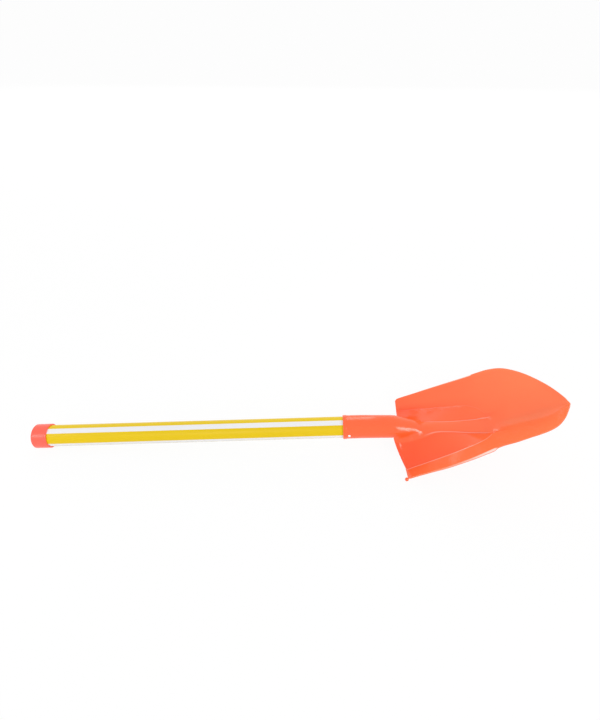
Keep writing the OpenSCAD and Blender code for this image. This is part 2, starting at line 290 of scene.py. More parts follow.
def moulded_plastic(s, base, roughness, cloud):
    """Injection moulded plastic: faint flow clouds in its colour, a soft skin and fine wear."""
    cloud_part, line_part = MOULDED_PARTS
    mottle = s.noise(*FLOW_CLOUDS) * cloud_part + s.noise(*FLOW_LINES) * line_part
    clouded = s.mix(s.spread(mottle, *CLOUD_RANGE), shade(WHITE[:3], 1 - cloud), WHITE)
    skin = s.mix(1.0, base, clouded, kind="MULTIPLY")
    scuffs = s.spread(s.noise(*SCUFFS), *SCUFF_RANGE)
    wave_part, dimple_part = SKIN_PARTS
    height = s.noise(*SKIN_WAVES) * wave_part + s.noise(*DIMPLES) * dimple_part
    return s.surface({"IOR": GLOSS_IOR}, Base_Color=skin,
                     Roughness=scuffs * SCUFF_ROUGH + (roughness - SCUFF_ROUGH / 2),
                     Normal=s.bump(height, *MOULDED_BUMP))


def coral_plastic():
    """Coral plastic with painted light and shade over the blade and painted highlights along its edges.
    """
    s = fresh_material("coral_plastic")
    c = colours()
    # The painted light and shade run from -1 to 1, and the mix holds those past an end at that end
    painted_shading_share = s.attribute("painted_shading") * 0.5 + 0.5
    body = s.mix(painted_shading_share, shade(c.coral_painted_shade), shade(c.coral_painted_light))
    # Painted highlights: light lines along the creases, the tongue edges and the lips
    base = s.mix(s.attribute("painted_highlight"), body, shade(c.painted_highlight_colour))
    return moulded_plastic(s, base, roughness=0.17, cloud=0.05)


def cap_plastic():
    """Softer plastic of the end cap, a little duller than the blade."""
    s = fresh_material("coral_cap")
    return moulded_plastic(s, shade(colours().cap), roughness=0.30, cloud=0.03)


def drawn_plastic(name, tint):
    """Extruded skin of the handle: long fine die lines and a satin surface."""
    s = fresh_material(name)
    lines = s.noise(*DIE_LINES)
    cloud_part, line_part = SLEEVE_PARTS
    mottle = s.noise(*SLEEVE_CLOUDS) * cloud_part + lines * line_part
    dark, light = (shade(tint, factor) for factor in SLEEVE_SHADES)
    return s.surface({"IOR": SATIN_IOR}, Base_Color=s.mix(s.spread(mottle, *SLEEVE_RANGE), dark, light),
                     Roughness=s.spread(lines, *LINE_RANGE) * DIE_ROUGH + SLEEVE_ROUGH,
                     Normal=s.bump(lines, *SLEEVE_BUMP))


def bright_metal(name, tint, roughness):
    """Drawn metal with fine lines along the handle."""
    s = fresh_material(name)
    lines = s.noise(*METAL_LINES)
    dark, light = (shade(tint, factor) for factor in METAL_SHADES)
    return s.surface({"Metallic": 1.0}, Base_Color=s.mix(s.spread(lines, *LINE_RANGE), dark, light),
                     Roughness=lines * LINE_ROUGH + (roughness - LINE_ROUGH / 2),
                     Normal=s.bump(lines, *METAL_BUMP))


# Meshes

# Steps of a full turn, of a rounded corner, and the fewest of a strip round the handle
ROUND_STEPS, ARC_STEPS, STRIP_STEPS = 128, 6, 4
# Points closer than this are merged, in metres
MERGE = 1e-7
# Angle between faces, in degrees, above which their edge stays sharp
SHARP_ANGLE = 50


def rounded(outline):
    """Turns (along, radius, rounding) corners in millimetres into a line with round corners."""
    line = []
    last = len(outline) - 1
    for i, (x, r, rounding) in enumerate(outline):
        here = Vector((x, r))
        if rounding == 0 or i in (0, last):
            line.append(here)
            continue
        before = (Vector(outline[i - 1][:2]) - here).normalized()
        after = (Vector(outline[i + 1][:2]) - here).normalized()
        half = before.angle(after) / 2
        centre = here + (before + after).normalized() * rounding / math.sin(half)
        start = here + before * rounding / math.tan(half) - centre
        end = here + after * rounding / math.tan(half) - centre
        line += [centre + start.slerp(end, q / ARC_STEPS).normalized() * rounding
                 for q in range(ARC_STEPS + 1)]
    return line


def turned(bm, line, axis_is_end=True):
    """Spins a line of (along, radius) points in millimetres about the handle line.

    The line begins and ends on the axis, or else is closed into a ring.
    """
    made = [bm.verts.new((p.x * MM, 0.0, p.y * MM)) for p in line]
    pairs = list(zip(made, made[1:])) + ([] if axis_is_end else [(made[-1], made[0])])
    edges = [bm.edges.new(pair) for pair in pairs]
    bmesh.ops.spin(bm, geom=made + edges, cent=(0, 0, 0), axis=(1, 0, 0), angle=math.tau,
                   steps=ROUND_STEPS, use_merge=True)


def band(bm, x0, x1, inner, outer, middle, turn):
    """A curved strip along the handle, with the angles of its middle and its width."""
    corners = [(x0, inner), (x1, inner), (x1, outer), (x0, outer)]
    face = bm.faces.new([bm.verts.new((x * MM, 0.0, r * MM)) for x, r in corners])
    start = Matrix.Rotation(middle - turn / 2 - math.pi / 2, 4, "X")
    bmesh.ops.transform(bm, matrix=start, verts=face.verts)
    steps = max(STRIP_STEPS, round(ROUND_STEPS * turn / math.tau))
    bmesh.ops.spin(bm, geom=[face, *face.edges, *face.verts], cent=(0, 0, 0), axis=(1, 0, 0),
                   angle=turn, steps=steps)


def mesh_of(name, bm):
    mesh = bpy.data.meshes.new(name)
    bm.to_mesh(mesh)
    bm.free()
    return mesh


def shown(name, data):
    """Puts a mesh, a lamp or a camera into the scene."""
    made = bpy.data.objects.new(name, data)
    bpy.context.collection.objects.link(made)
    return made


def piece(name, bm, material, slot, *nodes):
    """Makes the mesh a finished piece that stands for nodes of the frame."""
    bmesh.ops.remove_doubles(bm, verts=bm.verts, dist=MERGE)
    bmesh.ops.recalc_face_normals(bm, faces=bm.faces)
    open_edges = sum(1 for e in bm.edges if len(e.link_faces) != 2)
    if open_edges:
        raise RuntimeError(f"{name} has {open_edges} open edges")
    bmesh.ops.transform(bm, matrix=LAID, verts=bm.verts)
    mesh = mesh_of(name, bm)
    mesh.shade_smooth()
    mesh.set_sharp_from_angle(angle=math.radians(SHARP_ANGLE))
    mesh.materials.append(material)
    made = shown(name, mesh)
    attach(made, ROOT)
    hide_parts(*nodes)


# Rounding of the inner edge of the cap, in millimetres
CAP_BORE_ROUND = 0.3


def cap_piece():
    """The cup over the free end of the handle."""
    s = sizes()
    bore = HANDLE_WIDTH / MM / 2 + s.gap / MM
    outer = CAP_WIDTH / MM / 2
    end, floor = s.cap_length / MM, s.cap_floor / MM
    bm = bmesh.new()
    turned(bm, rounded([(0, 0, 0), (0, outer, s.cap_round / MM), (end, outer, s.rim_round / MM),
                        (end, bore, CAP_BORE_ROUND), (floor, bore, 0), (floor, 0, 0)]))
    piece("cap_shell", bm, cap_plastic(), "coral_cap", "end_cap")


def socket_radius(x):
    """Outside radius of the socket at a distance from the cap, in millimetres."""
    s = sizes()
    start, end = s.reach / MM + s.collar_round / MM, (s.reach + s.socket_length) / MM
    part = (x - start) / (end - start)
    return (s.socket_width + (s.socket_end - s.socket_width) * part) / MM / 2


# Level of the socket on the blade's scale of painted light and shade, a little to the dark side
SOCKET_TONE = -0.5
# Rounding of the mouth of the socket and of the corner behind the collar, in
# millimetres, and what the collar's rear edge has of its front edge's rounding
MOUTH_ROUND, CORNER_ROUND, REAR_ROUND_SHARE = 0.15, 0.05, 0.45


def socket_piece():
    """The round socket with its collar, which bends down a little towards the blade."""
    s = sizes()
    bore = HANDLE_WIDTH / MM / 2 + s.gap / MM
    mouth, ring = s.reach / MM, s.collar_width / MM / 2
    step, deep = mouth + s.collar_length / MM, mouth + s.socket_depth / MM
    end, soft = mouth + s.socket_length / MM, s.collar_round / MM
    bend = mouth + s.socket_bend / MM
    bm = bmesh.new()
    turned(bm, rounded([(deep, 0, 0), (deep, bore, 0), (mouth, bore, MOUTH_ROUND), (mouth, ring, soft),
                        (step, ring, soft * REAR_ROUND_SHARE),
                        (step, socket_radius(step), CORNER_ROUND), (bend, socket_radius(bend), 0),
                        (end, socket_radius(end), soft), (end, 0, 0)]))
    painted_shading = bm.verts.layers.float.new("painted_shading")
    for v in bm.verts:
        v[painted_shading] = SOCKET_TONE
        if math.hypot(v.co.y, v.co.z) > (bore + soft) * MM or v.co.x > (deep + soft) * MM:
            v.co.z -= s.socket_drop * max(0.0, v.co.x / MM - bend) / (end - bend)
    piece("blade_socket", bm, coral_plastic(), "coral_plastic", "shovel_head")


def sleeve_span():
    """Where the skin of the handle starts and ends, in millimetres."""
    s = sizes()
    return (s.cap_floor + s.gap) / MM, (s.reach + s.socket_depth - s.gap) / MM


# Stripes round the handle: their width, the turn from one to the next, and the
# place of the first above the near side, all as angles
STRIPE_TURN = math.radians(29)
STRIPE_STEP = math.tau / len(STRIPES)
STRIPE_FIRST = math.radians(74.5)
NEAR_SIDE = math.pi
STRIPE_DEPTH = 0.2
# Depth of the yellow strips between the stripes, which sink into the skin below
STRIP_DEPTH = STRIPE_DEPTH * 1.2


def stripe_middle(n):
    return NEAR_SIDE - STRIPE_FIRST + n * STRIPE_STEP


def sleeve_piece():
    """The yellow skin: a sleeve and, on it, strips that leave grooves for the stripes."""
    start, end = sleeve_span()
    outer = HANDLE_WIDTH / MM / 2
    bm = bmesh.new()
    turned(bm, [Vector(p) for p in ((start, outer - sizes().sleeve / MM), (start, outer - STRIPE_DEPTH),
                                    (end, outer - STRIPE_DEPTH), (end, outer - sizes().sleeve / MM))],
           axis_is_end=False)
    for n in range(len(STRIPES)):
        band(bm, start, end, outer - STRIP_DEPTH, outer, stripe_middle(n) + STRIPE_STEP / 2,
             STRIPE_STEP - STRIPE_TURN)
    piece("handle_skin", bm, drawn_plastic("yellow_sleeve", colours().yellow),
          "yellow_sleeve", "handle_sleeve")


def stripe_piece(n):
    """One of the white stripes, counted from the upper near one."""
    start, end = sleeve_span()
    outer = HANDLE_WIDTH / MM / 2
    bm = bmesh.new()
    band(bm, start, end, outer - STRIPE_DEPTH, outer, stripe_middle(n), STRIPE_TURN)
    piece("white_" + STRIPES[n], bm, drawn_plastic("white_stripe", colours().white),
          "white_stripe", STRIPES[n])


# Depth of the rivet below its head and rounding of the head's foot, in millimetres
RIVET_DEPTH, RIVET_FOOT_ROUND = 1.5, 0.1
# Flat top of the rivet head and the rounding beside it, as shares of its radius
RIVET_TOP_SHARE, RIVET_ROUND_SHARE = 0.75, 0.4


def rivet_piece():
    """The bright fixing on the near side of the socket."""
    s = sizes()
    wide, rise = s.rivet_head / MM / 2, s.rivet_rise / MM
    bm = bmesh.new()
    turned(bm, rounded([(rise, 0, 0), (rise, wide * RIVET_TOP_SHARE, wide * RIVET_ROUND_SHARE),
                        (0, wide, RIVET_FOOT_ROUND), (-RIVET_DEPTH, wide, 0), (-RIVET_DEPTH, 0, 0)]))
    x = (s.reach + s.rivet_in) / MM
    out = Matrix.Rotation(-math.pi / 2, 4, "Z")
    out.translation = Vector((x, -socket_radius(x), 0)) * MM
    bmesh.ops.transform(bm, matrix=out, verts=bm.verts)
    piece("rivet_head", bm, bright_metal("rivet_metal", colours().rivet, roughness=0.18),
          "rivet_metal", "socket_rivet")


# Middle of the nub from the rear corner of the rim, in shares of its radius
NUB_SHARES = Vector((-0.42, 0.0, -1.15))
# How often the faces of the nub are divided
NUB_DIVISIONS = 4


def nub_piece():
    """The small round nub at the near rear corner."""
    s = sizes()
    blade = Blade()
    corner = blade.place(0, -blade.half_at(0), blade.rim_at(0))
    spot = corner + NUB_SHARES * s.nub_radius / MM
    bm = bmesh.new()
    bmesh.ops.create_icosphere(bm, subdivisions=NUB_DIVISIONS, radius=s.nub_radius,
                               matrix=Matrix.Translation(spot * MM))
    piece("corner_nub", bm, coral_plastic(), "coral_plastic", "shovel_head")


# The blade

# Station along the blade, half width, rim height and floor height. Widths are
# shares of half the blade width, the rest shares of its length.
STATIONS = (
    (0.000, 0.977, -0.110, -0.191), (0.010, 0.999, -0.098, -0.188),
    (0.045, 0.999, -0.080, -0.177), (0.1375, 0.996, -0.039, -0.152),
    (0.215, 0.996, -0.004, -0.130), (0.291, 0.983, 0.034, -0.106),
    (0.3655, 0.965, 0.073, -0.081), (0.4375, 0.939, 0.114, -0.057),
    (0.508, 0.919, 0.154, -0.034), (0.579, 0.913, 0.182, -0.010),
    (0.649, 0.875, 0.201, 0.014), (0.719, 0.807, 0.203, 0.038),
    (0.789, 0.709, 0.197, 0.063), (0.854, 0.575, 0.188, 0.089),
    (0.9125, 0.390, 0.183, 0.116), (0.963, 0.167, 0.176, 0.142),
    (0.985, 0.065, 0.168, 0.153), (1.000, 0.016, 0.158, 0.160))
# Rows of the rib, the tongue and the two panels beside it: row, station, width,
# height and crown of the tongue, step, sag, panel edge station and width, rim station.
ROWS = (
    (0, -0.0625, 0.157, -0.058, 0.121, 0.0, 0.022, 0.002, 0.670, 0.000),
    (1, -0.0476, 0.165, -0.057, 0.118, 0.0, 0.021, 0.006, 0.700, 0.008),
    (2, -0.024, 0.181, -0.055, 0.108, 0.0, 0.019, 0.013, 0.737, 0.020),
    (3, 0.027, 0.180, -0.051, 0.086, 0.3, 0.012, 0.046, 0.722, 0.055),
    (4, 0.080, 0.172, -0.030, 0.048, 2.0, 0.005, 0.116, 0.688, 0.120),
    (5, 0.137, 0.150, -0.026, 0.016, 2.2, 0.002, 0.205, 0.633, 0.205),
    (6, 0.206, 0.116, -0.018, 0.0045, 1.4, 0.000, 0.279, 0.591, 0.280),
    (7, 0.298, 0.116, -0.021, 0.0035, 1.0, 0.000, 0.352, 0.544, 0.350),
    (8, 0.400, 0.142, -0.024, 0.0030, 1.0, 0.000, 0.421, 0.494, 0.420),
    (9, 0.464, 0.157, -0.024, 0.0030, 0.8, 0.000, 0.471, 0.431, 0.468),
    (10, 0.509, 0.175, -0.022, 0.0030, 0.45, 0.000, 0.507, 0.362, 0.482),
    (11, 0.538, 0.180, -0.020, 0.0020, 0.12, 0.000, 0.533, 0.283, 0.532),
    (12, 0.565, 0.185, -0.015, 0.0010, 0.0, 0.000, 0.548, 0.240, 0.572))
# Lip under each rim: station and share of its full height
LIPS = ((0.000, 0.06), (0.120, 0.10), (0.205, 0.20), (0.280, 0.36), (0.350, 0.60),
        (0.420, 0.90), (0.468, 1.00), (0.482, 0.00), (1.000, 0.00))
# How round the bottom of the dish is: near 0 it is a V
BOWL_SHARE = 0.8
# Half the width of the soft crease between a panel and the wall, in millimetres
CREASE = 0.6
# Width of the step beside the tongue, as a share of half the blade width
STEP_SHARE = 0.028
# How much closer the rows lie towards the tip
TIP_CROWD = 0.25
# Share of the way from the tongue to the tip by which the points of a row are evenly spread
EVEN_BY = 0.5
# Share of the half width past which the wall thins towards the rim
THIN_SHARE = 0.7
# How far the sag of the panels leans towards the tip
SAG_LEAN = 0.22
# The rib runs into the panels on a soft curve up to the first of these rows,
# which fades out by the second. It takes in these points of the rib and the panel.
SOFT_ROWS = (3.6, 5.6)
SOFT_ARC, SOFT_PANEL = 3, 6
# Rows softened on either side of the front end of the tongue, how often, and how
# far the points at that end move towards the middle of their neighbours
EASE_REACH, EASE_PASSES, EASE_SHARE = 9, 12, 0.5


def clamped(x):
    """The number itself, held between 0 and 1."""
    return min(1.0, max(0.0, x))


def swing(u):
    """A share from 0 to 1 that starts and ends gently."""
    return (3 - 2 * u) * u * u


def smooth(table, x, column):
    """Reads a column of a table at x on a smooth curve through its rows."""
    def slope(i):
        a, b = table[max(0, i - 1)], table[min(len(table) - 1, i + 1)]
        return (b[column] - a[column]) / (b[0] - a[0])
    i = max(0, min(len(table) - 2, sum(1 for row in table[1:-1] if x > row[0])))
    low, high = table[i], table[i + 1]
    span = high[0] - low[0]
    u = clamped((x - low[0]) / span)
    bend = swing(u)
    return (low[column] * (1 - bend) + high[column] * bend
            + span * u * (1 - u) * (slope(i) * (1 - u) - slope(i + 1) * u))


def soft_steps(count):
    """Shares from just over 0 to 1 that lie closer together at both ends."""
    return [(1 - math.cos(math.pi * (q + 1) / count)) / 2 for q in range(count)]


def soft_start(count):
    """Shares from just over 0 to 1 that lie closer together at the start."""
    return [1 - math.cos(math.pi / 2 * (q + 1) / count) for q in range(count)]


class Blade:
    """The surface of the rib and blade, in millimetres along the handle line."""

    tongue_steps, step_steps, panel_steps, wall_steps = 10, 4, 14, 24
    row_steps, front_steps = 9, 60

    def __init__(self):
        s = sizes()
        self.corner = (s.reach + s.socket_length + s.blade_back) / MM
        self.length, self.half = s.blade_length / MM, s.blade_width / MM / 2
        self.rise = s.tongue_rise / MM

    def place(self, s, y, z):
        return Vector((self.corner + self.length * s, y, z))

    def half_at(self, s):
        return self.half * smooth(STATIONS, s, 1)

    def rim_at(self, s):
        return self.length * smooth(STATIONS, s, 2)

    def bowl(self, s, y):
        """A point of the dished blade."""
        low = self.length * smooth(STATIONS, s, 3)
        side = y / self.half_at(s)
        dish = (math.hypot(BOWL_SHARE, side) - BOWL_SHARE) / (math.hypot(BOWL_SHARE, 1) - BOWL_SHARE)
        return self.place(s, y, low + (self.rim_at(s) - low) * dish)

    def rear_row(self, k):
        """Half a row from the middle of the tongue to the rim."""
        s, wide, height, crown, step, sag, edge, side, rim = (smooth(ROWS, k, c) for c in range(1, 10))
        wide, height, crown, sag = (wide * self.half, height * self.length, crown * self.length,
                                    sag * self.length)
        radius = (wide * wide + crown * crown) / (2 * crown)
        low = math.atan2(crown - radius, wide)
        row = []
        for q in range(self.tongue_steps + 1):
            turn = math.pi / 2 - (math.pi / 2 + low) * q / self.tongue_steps
            row.append(self.place(s, radius * math.cos(turn),
                                  height + crown - radius + radius * math.sin(turn)))
        foot = self.place(s, wide + STEP_SHARE * self.half * (1 + step) / 2, height - self.rise * step)
        row += [row[-1].lerp(foot, u) for u in soft_steps(self.step_steps)]
        panel = self.bowl(edge, side * self.half)
        inner = 1 - CREASE / (panel - foot).length
        row += [foot.lerp(panel, u) + Vector((SAG_LEAN, 0, -1)) * 4 * sag * u * (1 - u)
                for u in [inner * q for q in soft_steps(self.panel_steps - 1)] + [1.0]]
        self.soften_foot(row, k)
        outer = self.half_at(rim)
        first = CREASE / (outer - side * self.half)
        row += [self.bowl(edge + (rim - edge) * u, side * self.half + (outer - side * self.half) * u)
                for u in [first] + [first + (1 - first) * q for q in soft_start(self.wall_steps - 1)]]
        return row, rim

    def soften_foot(self, row, k):
        """Moves the points around the foot of the rib to a soft curve."""
        first, last = self.tongue_steps - SOFT_ARC, self.tongue_steps + self.step_steps + SOFT_PANEL
        fade = clamped((SOFT_ROWS[1] - k) / (SOFT_ROWS[1] - SOFT_ROWS[0]))
        start, corner, end = row[first], row[self.tongue_steps + self.step_steps // 2], row[last]
        for i in range(first + 1, last):
            u = (i - first) / (last - first)
            curve = start.lerp(corner, u).lerp(corner.lerp(end, u), u)
            row[i] = row[i].lerp(curve, fade)

    def half_rows(self):
        """All half rows from the rear edge to the tip, with the rim station of each."""
        last = ROWS[-1][0]
        rows = [self.rear_row(q / self.row_steps) for q in range(last * self.row_steps)]
        base, start = self.rear_row(last)
        shares = [p.y / base[-1].y for p in base]
        even = [j / (len(shares) - 1) for j in range(len(shares))]
        for q in range(self.front_steps + 1):
            f = q / self.front_steps
            s = min(1.0, start + (1 - start) * (f + TIP_CROWD * f * (1 - f)))
            ease = swing(min(1.0, f / EVEN_BY))
            wide = self.half_at(s)
            rows.append(([self.bowl(s, wide * (b + (c - b) * ease)) for b, c in zip(shares, even)], s))
        return eased(rows, last * self.row_steps)


def eased(rows, middle):
    """Softens the rows around the front end of the tongue, most at that end."""
    for _ in range(EASE_PASSES):
        line = [row for row, _ in rows]
        for i in range(middle - EASE_REACH, middle + EASE_REACH + 1):
            share = EASE_SHARE * (1 - abs(i - middle) / (EASE_REACH + 1))
            inner = [p.lerp((q + r) / 2, share) for p, q, r in zip(line[i], line[i - 1], line[i + 1])]
            rows[i] = (inner[:-1] + line[i][-1:], rows[i][1])
    return rows


def grid_normals(rows, passes):
    """Normals of a grid of points, softened over their neighbours in each pass."""
    tall, wide = len(rows), len(rows[0])
    normals = [[(rows[min(i + 1, tall - 1)][j] - rows[max(i - 1, 0)][j]).cross(
        rows[i][min(j + 1, wide - 1)] - rows[i][max(j - 1, 0)]).normalized()
        for j in range(wide)] for i in range(tall)]
    for _ in range(passes):
        normals = [[(normals[max(i - 1, 0)][j] + normals[min(i + 1, tall - 1)][j]
                     + normals[i][max(j - 1, 0)] + normals[i][min(j + 1, wide - 1)]
                     + normals[i][j]).normalized() for j in range(wide)] for i in range(tall)]
    return normals


# Rounding of the rim in millimetres, and how much rounder it is for each millimetre of lip
RIM_ROUND, LIP_ROUND = 0.35, 0.45
# Largest shares of the outermost strip of the wall that the rounding and the lip take up
ROUND_SHARE, LIP_SHARE = 0.45, 0.9
# How much thicker the lip is at its root
LIP_ROOT = 1.01
# How far down its face the lip carries the painted highlight
FACE_SHARE = 0.42
# Angles of the points on a rounding
QUARTER_STEPS = 4
QUARTER = [math.pi / 2 * q / QUARTER_STEPS for q in range(1, QUARTER_STEPS + 1)]
# Rounding of the rear edge and the tip: its depth in millimetres, and for each
# row a share of the half wall and of that depth
END_ROUND = 0.3
END_SHARES = ((0.93, 0.35), (0.80, 0.0), (0.0, 0.0))
# How often the normals that give the wall its thickness are softened
NORMAL_PASSES = 6

# Painted light and shade of the upper side, from -1, darkest, to 1, lightest: the stations
# where it starts and stops changing, and the tone at both
WALL_TONE = (0.0, 0.95, 0.05, 0.95)
PANEL_TONE = (0.0, 0.5, -1.15, 0.2)
TONGUE_TONE = (0.0, 0.5, SOCKET_TONE, 0.3)
# What the near wall has on top of that: painted light that makes it a little lighter
NEAR_PAINTED_LIGHT = (0.3, 0.6, 0.2, 0.4)
# Points of the far wall over which its painted light fades in
FAR_FADE = 14
# Length over which the tongue's tone fades into the wall's, as a share of the blade
FRONT_FADE = 0.12
# Strength of the painted highlights on the creases, the tongue edges and the lips
CREASE_HIGHLIGHT, TONGUE_HIGHLIGHT, FAR_TONGUE_HIGHLIGHT, LIP_HIGHLIGHT = 0.45, 0.38, 0.5, 1.0
# Share of the crease's painted highlight on the far side
FAR_SHARE = 0.15
# Row from which the tongue edges carry painted highlights, and rows over which all
# painted highlights fade out at the front end of the tongue
TONGUE_START, HIGHLIGHT_FADE = 4.8, 1.5


def rim_line(edge, inner, normal, wall, lip, painted_highlight):
    """Points from the upper edge of the rim round the lip to the underside.

    With them come the middle of the wall there and the painted light and shade and the painted highlight
    of each point.
    """
    s = sizes()
    across = edge - inner
    out = across.normalized()
    soft = min(RIM_ROUND + LIP_ROUND * lip, across.length * ROUND_SHARE)
    thick = min(s.lip_wall / MM, across.length * LIP_SHARE)
    low_soft = min(RIM_ROUND, soft)
    fall = Vector((0, 0, -lip))
    line = [edge - out * soft]
    upper = edge - (out + normal) * soft
    line += [upper + (out * math.sin(t) + normal * math.cos(t)) * soft for t in QUARTER]
    lower = edge - out * low_soft - normal * (wall - low_soft) + fall
    line.append(line[-1].lerp(lower + out * low_soft, FACE_SHARE))
    # The rim and the top of the lip face carry the painted highlight and are painted lightest
    marks = [(1.0, 0.0)] + [(1.0, painted_highlight)] * (len(line) - 1)
    line += [lower + (out * math.cos(t) - normal * math.sin(t)) * low_soft for t in [0.0] + QUARTER]
    line += [edge - out * thick - normal * wall + fall,
             edge - out * thick * LIP_ROOT - normal * wall]
    # The underside of the rim and lip is painted darkest, as painted shade
    marks += [(-1.0, 0.0)] * (len(line) - len(marks))
    middle = edge - out * thick / 2 - normal * wall / 2
    return line, middle, marks


def grounded(p):
    """The point itself, or the one above it on the ground where it would lie below."""
    return p - Vector((0, 0, min(0.0, (LAID @ (p * MM)).z / MM)))


def ramp(x, start, end, low, high):
    """Goes from low to high between two places, and is level outside."""
    return low + (high - low) * clamped((x - start) / (end - start))


def top_marks(k, j, s, far):
    """Painted light and shade and painted highlight of a point of the upper side: row, place in the row,
    station and side.
    """
    tongue, foot = Blade.tongue_steps, Blade.tongue_steps + Blade.step_steps
    crease = foot + Blade.panel_steps
    last = ROWS[-1][0]
    wall = ramp(s, *WALL_TONE) + (0.0 if far else ramp(s, *NEAR_PAINTED_LIGHT))
    panel = ramp(s, *PANEL_TONE)
    if j <= foot:
        painted_shading = ramp(s, *TONGUE_TONE)
    elif j < crease:
        painted_shading = panel
    elif far:
        painted_shading = panel + (wall - panel) * clamped((j - crease) / FAR_FADE)
    else:
        painted_shading = wall
    if k > last:
        return painted_shading + (wall - painted_shading) * clamped((s - ROWS[-1][1]) / FRONT_FADE), 0.0
    fade = clamped((last - k) / HIGHLIGHT_FADE)
    # Painted highlight along the crease between panel and wall, weak on the far side
    if j == crease:
        return painted_shading, CREASE_HIGHLIGHT * fade * (FAR_SHARE if far else 1.0)
    fade *= clamped(k - TONGUE_START)
    # Painted highlight along the far step of the tongue, which lies in shade
    if far and tongue <= j < foot:
        return painted_shading, FAR_TONGUE_HIGHLIGHT * fade
    if j == (tongue + foot) // 2:
        return painted_shading, TONGUE_HIGHLIGHT * fade
    return painted_shading, 0.0


def blade_loops():
    """Closed loops round the wall of the blade, one for each row.

    With them come the middle of the wall and the painted light and shade and the painted highlight of
    each point.
    """
    s = sizes()
    blade = Blade()
    halves = blade.half_rows()
    lips = [s.lip_height / MM * smooth(LIPS, rim, 1) for _, rim in halves]
    mirror = Vector((1, -1, 1))
    rows = [[p * mirror for p in half[:0:-1]] + half for half, _ in halves]
    crisp, soft = grid_normals(rows, 0), grid_normals(rows, NORMAL_PASSES)
    centre = len(halves[0][0]) - 1
    loops, middles, marks = [], [], []
    for i, (row, lip) in enumerate(zip(rows, lips)):
        top = row[centre:-1]
        wide = row[-1].y
        walls = [s.blade_wall / MM + (s.rim_wall - s.blade_wall) / MM
                 * max(0.0, p.y / wide - THIN_SHARE) / (1 - THIN_SHARE) for p in top]
        painted_highlight = LIP_HIGHLIGHT * clamped(lip / (s.lip_height / MM))
        rim, rim_middle, rim_marks = rim_line(row[-1], row[-2], crisp[i][-1], s.rim_wall / MM, lip, painted_highlight)
        under = [grounded(p - n * w) for p, n, w in zip(top, soft[i][centre:-1], walls)]
        half = top + rim + under[::-1]
        half_middle = [(p + q) / 2 for p, q in zip(top, under)]
        half_middle = half_middle + [rim_middle] * len(rim) + half_middle[::-1]
        k = i / blade.row_steps
        far, near = ([top_marks(k, j, (p.x - blade.corner) / blade.length, side)
                      for j, p in enumerate(top)] for side in (True, False))
        loops.append(half + [p * mirror for p in half[-2::-1]])
        middles.append(half_middle + [p * mirror for p in half_middle[-2::-1]])
        marks.append(far + rim_marks + far[::-1] + (near + rim_marks + near[::-1])[-2::-1])
    return loops, middles, marks


def closed_end(loops, middles, end, inside):
    """Rows that round off the wall at one end, from the last loop to the middle of the wall."""
    rows = []
    edge, within, mid = loops[end], loops[inside], middles[end]
    out = [(p - q).normalized() for p, q in zip(edge, within)]
    for share, back in END_SHARES:
        rows.append([m + (p - m) * share - o * END_ROUND * back for p, m, o in zip(edge, mid, out)])
    loops[end] = [p - o * END_ROUND for p, o in zip(edge, out)]
    return rows


def blade_piece():
    """The dished shell with its rib, tongue, panels and lips."""
    loops, middles, marks = blade_loops()
    rear = closed_end(loops, middles, 0, 1)
    tip = closed_end(loops, middles, -1, -2)
    loops = rear[::-1] + loops + tip
    marks = marks[:1] * len(rear) + marks + marks[-1:] * len(tip)
    tall, wide = len(loops), len(loops[0])
    bm = bmesh.new()
    # Each point holds its painted light and shade and its painted highlight
    painted_shading, painted_highlight = bm.verts.layers.float.new("painted_shading"), bm.verts.layers.float.new("painted_highlight")
    # A square of one unit, whose points then take their places
    half = 0.5
    bmesh.ops.create_grid(bm, x_segments=tall - 1, y_segments=wide - 1, size=half)
    for v in bm.verts:
        i, j = round((v.co.x + half) * (tall - 1)), round((v.co.y + half) * (wide - 1))
        v.co = loops[i][j] * MM
        v[painted_shading], v[painted_highlight] = marks[i][j]
    piece("blade_shell", bm, coral_plastic(), "coral_plastic", "shovel_head")


# Studio

# Place and aim of the camera: millimetres from the cap along the handle line, across and above it
EYE = Vector((309.2, -317.2, 378.0))
AIM = Vector((309.2, 106.3, 0.0))
ROLL = math.radians(-1.69)
LENS, SENSOR, SHIFT = 23.25, 36.0, -0.0417
# Nearest and farthest distance that the camera shows, in metres
NEAREST, FARTHEST = 0.01, 20.0
# Soft box lamps: name, aim, turn and rise in degrees, distance, width and height
# in metres, and radiance
LAMPS = (
    ("rear_fill", (0.1, 0.0, 0.03), 90.0, 20.0, 1.6, 2.4, 0.9, 2.0),
    ("rear_card", (0.068, 0.0, 0.02), 83.0, 40.0, 0.3, 0.045, 0.19, 2.6),
    ("front_box", (0.10, 0.0, 0.03), -112.0, 26.0, 1.3, 0.45, 0.34, 4.5),
    ("cap_card", (-0.267, 0.0, 0.013), -135.0, 41.0, 0.22, 0.07, 0.07, 5.0),
    ("side_lamp", (0.14, 0.0, 0.03), -44.0, 21.0, 1.2, 0.42, 0.66, 7.0))
# The lamp that shows in no reflection
PLAIN_LAMP = "rear_fill"
# Brightness of the floor where light falls on it, and how far towards plain white it looks
PAPER, PAPER_WHITE = 0.85, 0.94
# From the middle of the floor to its edges, in metres
FLOOR_REACH = 6.0
# Light of the surroundings on the object
AIR = 0.84


